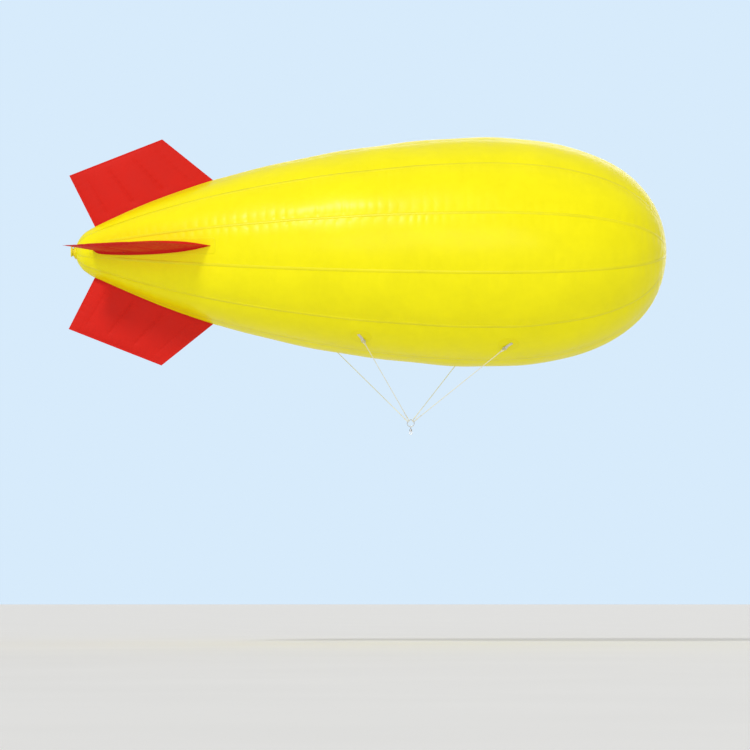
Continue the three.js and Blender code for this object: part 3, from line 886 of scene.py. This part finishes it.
def root_strips():
    """A strip with round corners under each fin's root."""
    stations = (ROOT_BACK[0] - STRIP_OVERRUN, ROOT_FRONT[0] + STRIP_OVERRUN)
    along = edge_steps(*STRIP_ROWS)
    across = edge_steps(*STRIP_COLUMNS) * 2 - 1
    arcs = arc_of_station(stations[0] + (stations[1] - stations[0]) * along)
    end = np.minimum(along, 1 - along) * (arcs[-1] - arcs[0])
    short = np.clip(STRIP_CORNER - end, 0, STRIP_CORNER)
    half = STRIP_HALF - STRIP_CORNER + np.sqrt(STRIP_CORNER ** 2 - short ** 2)
    reach = np.arcsin(half[:, None] * across / outline_at(arcs)[1][:, None])
    inside = np.zeros(reach.shape)
    inside[1:-1, 1:-1] = 1
    for name, turn, _ in FIN_PLACES:
        angles = reach - radians(turn)
        top = on_hull(arcs[:, None], angles, SUNK + (DOUBLER - SUNK) * inside)
        under = on_hull(arcs[:, None], angles, SUNK - UNDERCUT * inside)
        sheet = two_sided(top, under)
        make(f"root_strip_{name}", [sheet], doubler_film, f"fin_strip_{name}")


# Fins, made standing straight up and then turned to their places

FIN_CHORD_STEPS = 150
FIN_SPAN_STEPS = 84
FILLET_STEPS = 4
CHORD_EASE = 0.6
SPAN_EASE = 0.55
FIN_SEED = 20
FIN_OTHER_SEED = 50  # more, for the baffles of the other sheet
FIN_CREASES = 2.0  # length of the crease tables


def fin_corners():
    """Root and tip corners in the fin's plane. The root's are moved on into the envelope."""
    shift = np.array([-BUOYANCY_STATION, 0])
    root_back, root_front, tip_front, tip_back = (
        np.array(corner) + shift for corner in (ROOT_BACK, ROOT_FRONT, TIP_FRONT, TIP_BACK))
    root_back = root_back + unit(root_back - tip_back) * ROOT_SINK
    root_front = root_front + unit(root_front - tip_front) * ROOT_SINK
    return root_back, root_front, tip_back, tip_front


FIN_CORNERS = fin_corners()


def fin_line(u):
    """The start, on the sunk root, of the line at a share u of the chord, and its way to the tip."""
    root_back, root_front, tip_back, tip_front = FIN_CORNERS
    root = root_back + (root_front - root_back) * u
    return root, tip_back + (tip_front - tip_back) * u - root


def edge_distance(points, start, end):
    """Distance from a line, and the distance along it, of points in the fin's plane."""
    way = unit(end - start)
    offset = points - start
    return np.abs(offset[..., 0] * way[1] - offset[..., 1] * way[0]), np.abs(offset @ way)


class FinGrid:
    """Places over a fin: u goes from its back to its front, and v from the sunk root to the tip. The
    envelope's surface is at v = seat. back, front and tip are the distances from a rim and along it."""

    def __init__(self):
        t = np.linspace(0, 1, FIN_CHORD_STEPS + 1)
        self.u = ((1 - CHORD_EASE) * t + CHORD_EASE * (1 - np.cos(pi * t)) / 2)[:, None]
        root, way = fin_line(self.u)
        self.span = length(way)[:, None]
        tries = np.linspace(0, 0.4, 400)
        line = root[:, None] + way[:, None] * tries[:, None]
        height = line[..., 1] - outline_at(arc_of_station(line[..., 0] + BUOYANCY_STATION))[1]
        self.seat = np.array([np.interp(0.0, row, tries) for row in height])[:, None]
        self.foot = root + way * self.seat
        t = np.linspace(0, 1, FIN_SPAN_STEPS + 1)
        v = self.seat + (1 - self.seat) * ((1 - SPAN_EASE) * t + SPAN_EASE * np.sin(pi / 2 * t))
        start = FILLET / self.span
        self.v = np.maximum(v, self.seat + start + (v - self.seat) * (1 - start))
        self.place = root[:, None] + way[:, None] * self.v[..., None]
        root_back, root_front, tip_back, tip_front = FIN_CORNERS
        self.back = edge_distance(self.place, root_back, tip_back)
        self.front = edge_distance(self.place, root_front, tip_front)
        self.tip = edge_distance(self.place, tip_back, tip_front)
        self.chord = self.back[0] + self.front[0]


FIN = FinGrid()


def pillow():
    """Half the thickness of the fin between its flat rims."""
    share_u = np.clip((FIN.back[0] - RIM_FLANGE) / (FIN.chord - 2 * RIM_FLANGE), 0, 1)
    share_v = np.clip(FIN.v / (1 - RIM_FLANGE / FIN.span), 0, 1)
    power = np.where(share_u > 0.5, LEADING_EDGE, BLUNT_EDGE)
    full = np.sin(pi * share_u) ** power * np.sqrt(1 - share_v ** 2)
    return RIM_HALF + (FIN_HALF - RIM_HALF) * full


def fin_side(side, creases):
    """One sheet of the fin above its root; creases has a table for each rim, then each baffle."""
    edges = [FIN.back, FIN.front, FIN.tip]
    rim = np.minimum.reduce([away for away, _ in edges])
    inside = smooth_step(rim, RIM_FLANGE, RIM_FLANGE + RIM_BLEND)
    pull = np.zeros(rim.shape)
    wave = np.zeros(rim.shape)
    for table, (away, along) in zip(creases, edges):
        crease = crease_at(table, along)
        pull += FIN_PUCKER * crease * np.exp(-np.maximum(away - RIM_FLANGE, 0) / FIN_PUCKER_REACH)
        wave += RIM_WAVE * (crease - 0.35) * np.exp(-away / RIM_FLANGE) * (1 - inside)
    ends = smooth_step(FIN.tip[0], *BAFFLE_TIP_FADE) * smooth_step(FIN.v - FIN.seat, *BAFFLE_ROOT_FADE)
    steps = [round(FIN_CHORD_STEPS * (number + 1) / (BAFFLES + 1)) for number in range(BAFFLES)]
    baffles = FIN.u[steps, 0]
    cell_half = np.diff(baffles).min() / 2
    to_baffle = np.clip(np.abs(FIN.u - baffles).min(axis=1, keepdims=True) / cell_half, 0, 1)
    bulge = np.sqrt(1 - (1 - to_baffle) ** 2)
    half = pillow() * (1 - BAFFLE_CUT * (1 - bulge) * ends)
    for baffle, table in zip(baffles, creases[len(edges):]):
        fade = np.exp(-np.abs(FIN.u - baffle) * FIN.chord / BAFFLE_REACH) * ends
        pull += BAFFLE_PUCKER * crease_at(table, FIN.v * FIN.span) * fade
    half = np.maximum(half - inside * pull, RIM_HALF)
    return np.stack([FIN.place[..., 0], side * half + wave, FIN.place[..., 1]], axis=-1)


def fin_root(side, turn, body):
    """The flange on the strip and the fillet up to the fin, as rows from the flange's edge inwards."""
    foot = FIN.foot
    arcs = arc_of_station(foot[:, 0] + BUOYANCY_STATION)
    thick = np.abs(body[:, 0, 1])
    along = length(foot - foot[0])
    to_back = np.clip(along / FLANGE_BACK_END, 0, 1)
    to_front = np.clip((along[-1] - along) / FLANGE_FRONT_END, 0, 1)
    narrow = np.sqrt(1 - (1 - to_back) ** 2) * (1 - (1 - to_front) ** 2)
    inner = thick + FLANGE_LEAST + (FILLET - FLANGE_LEAST) * narrow
    width = FLANGE_LEAST + (FLANGE_WIDTH - FLANGE_LEAST) * narrow
    rows = []
    for out, lift in ((1.0, SUNK), (0.985, FLANGE_LIFT), (0.5, FLANGE_LIFT), (0.0, FLANGE_LIFT)):
        reach = np.arcsin((inner + width * out) / outline_at(arcs)[1])
        rows.append(about_axis(on_hull(arcs, side * reach - radians(turn), lift), -turn))
    corner = np.stack([foot[:, 0], side * thick, foot[:, 1]], axis=1)
    rows += [bent(rows[-1], corner, body[:, 0], step / FILLET_STEPS) for step in range(1, FILLET_STEPS)]
    return np.stack(rows, axis=1)


def about_axis(points, degrees):
    a = radians(degrees)
    turn = np.array([[1, 0, 0], [0, cos(a), -sin(a)], [0, sin(a), cos(a)]])
    return np.asarray(points) @ turn.T


def fin_sheet(side, turn, creases):
    """A whole sheet, with its root, in its place on the envelope."""
    body = fin_side(side, creases)
    return about_axis(np.concatenate([fin_root(side, turn, body), body], axis=1), turn)


def fins():
    """Both sheets of a fin have the same creases at the rims, where they are welded together."""
    for seed, (name, turn, valve_side) in enumerate(FIN_PLACES, FIN_SEED):
        creases = crease_tables(3 + BAFFLES, FIN_CREASES, FIN_CREASE, seed)
        port = fin_sheet(1, turn, creases)
        creases[3:] = crease_tables(BAFFLES, FIN_CREASES, FIN_CREASE, seed + FIN_OTHER_SEED)
        sheets = two_sided(port, fin_sheet(-1, turn, creases))
        make(f"fin_film_{name}", [sheets], fin_film, f"fin_{name}")
        fin_valve(name, turn, valve_side)


def packed_fin(u, v, side):
    """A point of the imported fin, which its valve is seated on."""
    root, way = fin_line(u)
    x, z = root + way * v
    full = sqrt(sin(pi * u) * (1 - v * v))
    return np.array([x, side * (CAD_RIM_HALF + (FIN_HALF - CAD_RIM_HALF) * full), z])


def plug_ribs(angles, radius, height):
    """Ribs round the plug's side."""
    return radius + (0.5 * MM * np.cos(18 * angles) if radius > 10.4 * MM else 0 * angles)


def fin_valve(name, turn, side):
    """A small plug valve: a welded collar, a ribbed plug and its pull tab."""
    u, v = FIN_VALVE_AT
    at = packed_fin(u, v, side)
    along_u = packed_fin(u + 0.01, v, side) - packed_fin(u - 0.01, v, side)
    along_v = packed_fin(u, v + 0.01, side) - packed_fin(u, v - 0.01, side)
    normal = side * unit(np.cross(along_v, along_u))
    lean = unit(along_v)
    collar = rounded([(0, -6), (17, -6), (17, 1.2, 1.2), (12, 2.6, 3), (0, 2.6)])
    plug = rounded([(0, 1), (10.5, 1), (10.5, 10, 2), (8, 11, 1), (0, 11)])
    tab = np.array([(9, 8), (10, 14), (6, 20), (3, 24)]) * MM
    parts = [lathe(collar, at, normal, 48), lathe(plug, at, normal, 72, plug_ribs),
             sweep(smoothed(at + tab @ np.stack([normal, lean]), 6), 1.6 * MM, 10)]
    points, faces = joined(parts)
    make(f"fin_plug_{name}", [(about_axis(points, turn), faces)], fin_plastic,
         f"fin_valve_{name}")


# Webbing tabs with their stitching, and D-rings

STRAP_HALF = 1.1 * MM
STRAP_FLOOR = 2 * DOUBLER + 0.3 * MM
STITCH_LENGTH = 3.2 * MM
STITCH_PITCH = 4.4 * MM
STITCH_RADIUS = 0.55 * MM
STITCH_BOX = (-0.046, 0.004, 0.0125)  # back, front and half width
BEAD_LENGTH = 2.2 * MM


def strap_path():
    """The strap's middle line as (along, up): forward on the patch, round the bar and back on top."""
    low = STRAP_FLOOR + STRAP_HALF
    high = low + 2 * STRAP_HALF + 0.2 * MM
    loop = WIRE_RADIUS + 0.4 * MM + STRAP_HALF
    turn = np.radians(np.arange(-80, 100, 20))[:, None]
    there = [(-WEBBING_BACK, low), (-0.02, low), (0.008, low), (0.022, low + 1.2 * MM),
             (0.034, LOOP_HEIGHT - loop - 1.2 * MM)]
    back = [(0.034, LOOP_HEIGHT + loop - 1.4 * MM), (0.022, high + 4.5 * MM), (0.010, high + 0.8 * MM),
            (-0.004, high), (-0.02, high), (-WEBBING_BACK + 3 * MM, high)]
    bow = [WEBBING_FRONT, LOOP_HEIGHT] + loop * np.hstack([np.cos(turn), np.sin(turn)])
    return smoothed(np.concatenate([there, bow, back]), 4)


def strap_section():
    """(across, height) round the strap, with rounded selvedges."""
    flat = np.linspace(-1, 1, 15) * (WEBBING_HALF - 0.8 * MM)
    upper = [(across, STRAP_HALF) for across in flat]
    upper += [(WEBBING_HALF - 0.2 * MM, 0.7 * STRAP_HALF), (WEBBING_HALF, 0),
              (WEBBING_HALF - 0.2 * MM, -0.7 * STRAP_HALF)]
    return np.concatenate([upper, -np.array(upper)]).T


def webbing_tab(spot):
    """The strap, and each of its points' place for the weave."""
    path = strap_path()
    steps = unit(np.gradient(path, axis=0))
    across, height = strap_section()
    along = path[:, :1] - steps[:, 1:] * height
    above = path[:, 1:] + steps[:, :1] * height
    place = np.stack(np.broadcast_arrays(run_along(path)[:, None], across, 0), axis=-1)
    return loft(spot.at(along, across, above)), place.reshape(-1, 3)


def stitch_lines():
    """A box with its diagonals and a second row at the back, as (along, across) pairs."""
    back, front, side = STITCH_BOX
    box = [(back, -side), (front, -side), (front, side), (back, side)]
    lines = list(zip(box, box[1:] + box[:1])) + [(box[0], box[2]), (box[1], box[3])]
    return lines + [((back - 1.5 * MM, -side), (back - 1.5 * MM, side))]


def stitching(spot):
    """Short yarns that dip at both ends."""
    top = STRAP_FLOOR + 4 * STRAP_HALF + 0.55 * MM
    t = np.linspace(-0.5, 0.5, 5)[:, None]
    dip = spot.up * 3.2 * STITCH_RADIUS * (2 * t) ** 4
    parts = []
    for start, end in np.array(stitch_lines()):
        reach = length(end - start)
        count = max(int(reach / STITCH_PITCH), 1)
        way = unit(end - start)
        yarn = (way[0] * spot.along + way[1] * spot.across) * STITCH_LENGTH * t - dip
        for number in range(count):
            along, across = start + way * (number + 0.5) * reach / count
            parts.append(sweep(spot.at(along, across, top) + yarn, STITCH_RADIUS, 6))
    return parts


def webbing_tabs():
    for spot in attachments:
        part, place = webbing_tab(spot)
        make(f"webbing_strap_{spot.name}", [part], strap_weave,
             f"webbing_{spot.name}", strap=place)
        make(f"webbing_stitching_{spot.name}", stitching(spot), thread_fibre)


def d_rings():
    """One bent wire each, with a weld bead in the middle of the straight side."""
    bar = rounded([(-D_HALF, D_SHOULDER), (-D_HALF, 0, D_BEND), (D_HALF, 0, D_BEND),
                   (D_HALF, D_SHOULDER)], 6, scale=1)
    middle = len(bar) // 2
    straight = np.linspace(bar[middle - 1], bar[middle], 13)[1:-1]
    turn = np.linspace(0, pi, 37)[1:-1]
    bow = np.stack([D_HALF * np.cos(turn), D_SHOULDER + D_HALF * np.sin(turn)], axis=1)
    path = np.concatenate([bar[:middle], straight, bar[middle:], bow])
    bead = np.exp(-(path[:, 0] / BEAD_LENGTH) ** 2) * (path[:, 1] < 1 * MM)
    for spot in attachments:
        wire = spot.bar + path @ np.stack([spot.across, spot.line_way])
        make(f"d_ring_wire_{spot.name}", [sweep(wire, WIRE_RADIUS + 0.35 * MM * bead, 14, closed=True)],
             steel, f"d_ring_{spot.name}")


# Bridle lines: three-strand rope with a spliced and whipped eye at both ends

STRAND_RADIUS = 2.15 * MM
STRAND_OFFSET = 1.95 * MM
LAY = 30 * MM
ROPE_STEP = 2.4 * MM
TUCK_RADIUS = 1.75 * MM
TUCK_OFFSET = 4.1 * MM
TWINE_RADIUS = 0.55 * MM
WHIPPING_LENGTH = 9 * MM
THROAT = 34 * MM
EYE_OPENING = radians(52)


def strands(path, offset, radius, lay, phase=0.0):
    """Three strands laid round a path; offset and radius may be one number for each point."""
    _, normals, binormals = along_path(path)
    offset = np.broadcast_to(offset, len(path))[:, None]
    parts = []
    for strand in range(3):
        angle = (phase + strand * TURN / 3 + TURN * run_along(path) / lay)[:, None]
        shift = normals * np.cos(angle) + binormals * np.sin(angle)
        parts.append(sweep(path + shift * offset, radius, 7))
    return parts


def rope(path):
    return strands(evenly(path, ROPE_STEP), STRAND_OFFSET, STRAND_RADIUS, LAY)


def eye_path(centre, way, side):
    """From the throat once round an eye and back to the throat, in the plane of both directions."""
    turn = np.linspace(EYE_OPENING, TURN - EYE_OPENING, 29)[:, None]
    loop = centre + EYE_RADIUS * (np.cos(turn) * way + np.sin(turn) * side)
    start, gap = centre + way * THROAT, side * 2.2 * MM
    return smoothed(np.concatenate([[start + gap], loop, [start - gap]]), 3)


def whipping(start, way, radius):
    """Twine wound tightly round the rope."""
    across = unit(np.cross(way, [0.3, 1.0, 0.2]))
    turns = int(WHIPPING_LENGTH / (2 * TWINE_RADIUS))
    angles = np.linspace(0, turns * TURN, turns * 12)[:, None]
    path = (start + way * angles / TURN * 2 * TWINE_RADIUS
            + radius * (np.cos(angles) * across + np.sin(angles) * np.cross(way, across)))
    return sweep(path, TWINE_RADIUS, 6)


def splice(start, way):
    """Three strands tucked back round the rope, against its lay, thinning towards their end."""
    path = evenly([start, start + way * SPLICE_LENGTH], 2.0 * MM)
    share = np.linspace(0, 1, len(path))
    weave = 0.55 * MM * np.cos(3 * TURN * share * SPLICE_LENGTH / LAY)
    offset = TUCK_OFFSET * (1 - 0.25 * share) + weave
    return strands(path, offset, TUCK_RADIUS * (1 - 0.45 * share), -LAY, 0.5)


def bridle_line(spot):
    way = spot.line_way
    rise = EYE_RADIUS - (WIRE_RADIUS + LINE_RADIUS + EYE_SLACK)
    ring_normal = unit(spot.ring_tangent - way * np.dot(spot.ring_tangent, way))
    ends = [(spot.apex + way * rise, way, np.cross(spot.across, way)),
            (spot.ring_point - way * rise, -way, np.cross(ring_normal, way))]
    throats = [centre + inward * (THROAT - 2 * MM) for centre, inward, _ in ends]
    parts = []
    bands = []
    for (centre, inward, side), throat in zip(ends, throats):
        parts += rope(eye_path(centre, inward, side))
        parts += splice(throat - inward * 2 * MM, inward)
        bands.append(whipping(throat - inward * 3 * MM, inward, TUCK_OFFSET + 1.9 * MM))
        bands.append(whipping(throat + inward * (SPLICE_LENGTH - 6 * MM), inward, LINE_RADIUS + 0.7 * MM))
    parts += rope([throats[0] - way * 4 * MM, throats[1] + way * 4 * MM])
    make(f"bridle_rope_{spot.name}", parts, rope_fibre, f"bridle_line_{spot.name}")
    make(f"bridle_whipping_{spot.name}", bands, thread_fibre)


def bridle():
    for spot in attachments:
        bridle_line(spot)


# Gathering ring and swivel; profiles are (radius, height from the ring's centre, rounding)

RING_BEAD_AT = 2.1
SWIVEL_EYE_RADIUS = 12 * MM
SWIVEL_EYE_SWELL = 0.45  # of the forged eye at its foot, in radians each way
TETHER_EYE_DROP = 100 * MM


def gathering_ring():
    path = circle(GATHER, RING_RADIUS, UP, AHEAD, 120)
    bead = np.exp(-((around(120) - RING_BEAD_AT) * RING_RADIUS / 2.4e-3) ** 2)
    make("gathering_ring_wire", [sweep(path, WIRE_RADIUS + 0.4 * MM * bead, 20, closed=True)],
         steel, "gathering_ring")


def swivel_upper():
    """A forged eye on a headed pin."""
    drop = RING_RADIUS + SWIVEL_EYE_RADIUS - 2 * WIRE_RADIUS - 0.3 * MM
    angles = around(72)
    path = circle(GATHER - UP * drop, SWIVEL_EYE_RADIUS, -UP, PORT, 72)
    swell = 1 + 0.22 * np.exp(-(np.minimum(angles, TURN - angles) / SWIVEL_EYE_SWELL) ** 2)
    foot = -(drop + SWIVEL_EYE_RADIUS) / MM
    pin = rounded([(0, foot + 3), (6.6, foot + 1, 2), (5, foot - 5, 4), (5, -69.3, 0.6),
                   (9, -69.3, 0.8), (9, -76.3, 0.8), (0, -76.3)])
    make("swivel_eye_pin", [sweep(path, WIRE_RADIUS * swell, 18, closed=True), lathe(pin, GATHER, UP, 40)],
         steel, "swivel_upper")


def swivel_lower():
    """A turned barrel round the pin's head, and a flat eye under it for the tether."""
    barrel = rounded([
        (0, -79.3), (9.5, -79.3), (9.5, -69, 0.3), (5.5, -69, 0.3), (5.5, -62, 0.6), (14, -62, 1.6),
        (14, -66, 0.3), (13.2, -67, 0.3), (14, -68, 0.3), (14, -78, 0.3), (13.2, -79, 0.3),
        (14, -80, 0.3), (14, -84, 1.6), (0, -84.5)])
    eye = rounded([(9, 0), (9, 5, 1.6), (18, 5, 1.6), (18, -5, 1.6), (9, -5, 1.6), (9, 0)], 5)[:-1]
    parts = [lathe(barrel, GATHER, UP, 64),
             lathe(eye, GATHER - UP * TETHER_EYE_DROP, PORT, 72)]
    make("swivel_barrel_eye", parts, steel, "swivel_lower", "swivel_eye")


# Filling valve in the tail; profiles are (radius, station, rounding), outlines (station, height)

HINGE = TAIL + np.array([-34, 0, 58]) * MM
CAP_INSIDE = -46.3
CAP_OUTSIDE = CAP_INSIDE - 5


def plate(outline, up, half, bevel=0.4 * MM, shift=0.0):
    """A plate with softened edges in a plane through the envelope's axis, or shifted out of it."""
    side = np.cross(AHEAD, up)
    inward = outline.mean(axis=0) - outline
    share = np.minimum(bevel / np.maximum(length(inward), bevel), 0.5)
    shrunk = outline + inward * share[:, None]
    layers = [(shrunk, -half), (outline, bevel - half), (outline, half - bevel), (shrunk, half)]
    return loft([TAIL + shape @ np.stack([AHEAD, up]) + side * (shift + height)
                 for shape, height in layers])


def tail_surface(radius):
    """Where the valve's foot meets the doublers, as a station in millimetres."""
    return outline_at(arc_of_radius(radius * MM))[0] / MM - (2 * DOUBLER + 0.3 * MM) / MM


def valve_lug(shift):
    turn = np.linspace(pi / 2, 1.5 * pi, 15)
    end = np.stack([6 * np.cos(turn) - 34, 6 * np.sin(turn) + 58], axis=1)
    return plate(np.concatenate([[(-11, 52), (-11, 64)], end]) * MM, UP, 3 * MM, 0.6 * MM, shift)


def valve_body():
    """A flanged neck with ribs, the flap across its bore, and the two lugs and pin of the hinge."""
    neck = rounded([
        (0, -8), (30, -8, 0.6), (30, -46, 1.2), (38, -46, 1.2), (38, -12, 3), (66, -12, 2.5),
        (66, tail_surface(66), 1), (36, tail_surface(36), 0.5), (34, 4, 0.5), (34, 30, 1), (30, 30, 1),
        (30, -4, 0.5), (0, -4)])
    gusset = rounded([(-11, 37), (-26, 37, 1), (-26, 39, 1), (-13, 58, 3), (-11, 58)], 3)
    pin_head = rounded([(0, 16.3), (4.6, 16.3, 0.4), (4.6, 18, 1.2), (0, 19)])
    parts = [lathe(neck, TAIL, AHEAD, 96), valve_lug(-13.5 * MM), valve_lug(13.5 * MM)]
    for station in (-40, -35, -30):
        ridge = circle(TAIL + AHEAD * station * MM, 38.2 * MM, UP, PORT, 96)
        parts.append(sweep(ridge, 1.1 * MM, 10, closed=True))
    for angle in around(16) + TURN / 32:
        parts.append(plate(gusset, PORT * sin(angle) + UP * cos(angle), 1.3 * MM))
    flap_ridge = circle(TAIL - AHEAD * 8.4 * MM, 22 * MM, UP, PORT, 48)
    parts.append(sweep(flap_ridge, 1.0 * MM, 8, closed=True))
    parts.append(sweep([HINGE - PORT * 17.4 * MM, HINGE + PORT * 17.4 * MM], 3 * MM, 24))
    parts += [lathe(pin_head, HINGE, PORT * side, 24) for side in (-1, 1)]
    make("valve_neck_flange", parts, valve_plastic, "valve_body")


def cap_grip(angles, radius, height):
    """Grip notches round the cap's rim."""
    low, high = (CAP_OUTSIDE + 1.4) * MM, (CAP_INSIDE + 8.6) * MM
    notch = 0.7 * MM * (0.5 + 0.5 * np.cos(60 * angles)) ** 2
    return radius - (notch if radius >= 46.2 * MM and low <= height <= high else 0 * angles)


def valve_cap():
    """A gripped cap with a stepped face, on an arm that ends in the hinge barrel."""
    inside, outside = CAP_INSIDE, CAP_OUTSIDE
    rim = [(47, outside + 1.6 + 2 * step) for step in range(6)]
    profile = rounded([
        (0, outside + 1.2), (30, outside + 1.2, 1), (32, outside, 1), (45.6, outside, 0.8), *rim,
        (46.6, inside + 10, 1), (43, inside + 10, 1), (43, inside, 1), (34, inside, 0.5),
        (33, inside + 2.4, 0.5), (31.4, inside + 2.4, 0.5), (30.8, inside, 0.5), (0, inside)], 3)
    root = inside - 1.5
    arm = rounded([(outside + 0.3, 37), (root, 37), (root, 45, 1), (-34, 53, 1), (-34, 63, 1),
                   (outside + 8, 63, 3), (outside + 0.3, 53, 3), (outside + 0.3, 37.5)], 3)
    barrel = rounded([(3.4, -10), (6, -10, 0.7), (6, 10, 0.7), (3.4, 10)])
    parts = [lathe(profile, TAIL, AHEAD, 360, cap_grip), plate(arm, UP, 8 * MM, 0.8 * MM),
             lathe(barrel, HINGE, PORT, 40)]
    make("valve_cap_lid", parts, valve_plastic, "valve_cap", "valve_lid")


for build in (envelope_skin, seam_tapes, end_patches, root_strips, fins, load_patches, webbing_tabs,
              d_rings, bridle, gathering_ring, swivel_upper, swivel_lower, valve_body, valve_cap):
    build()
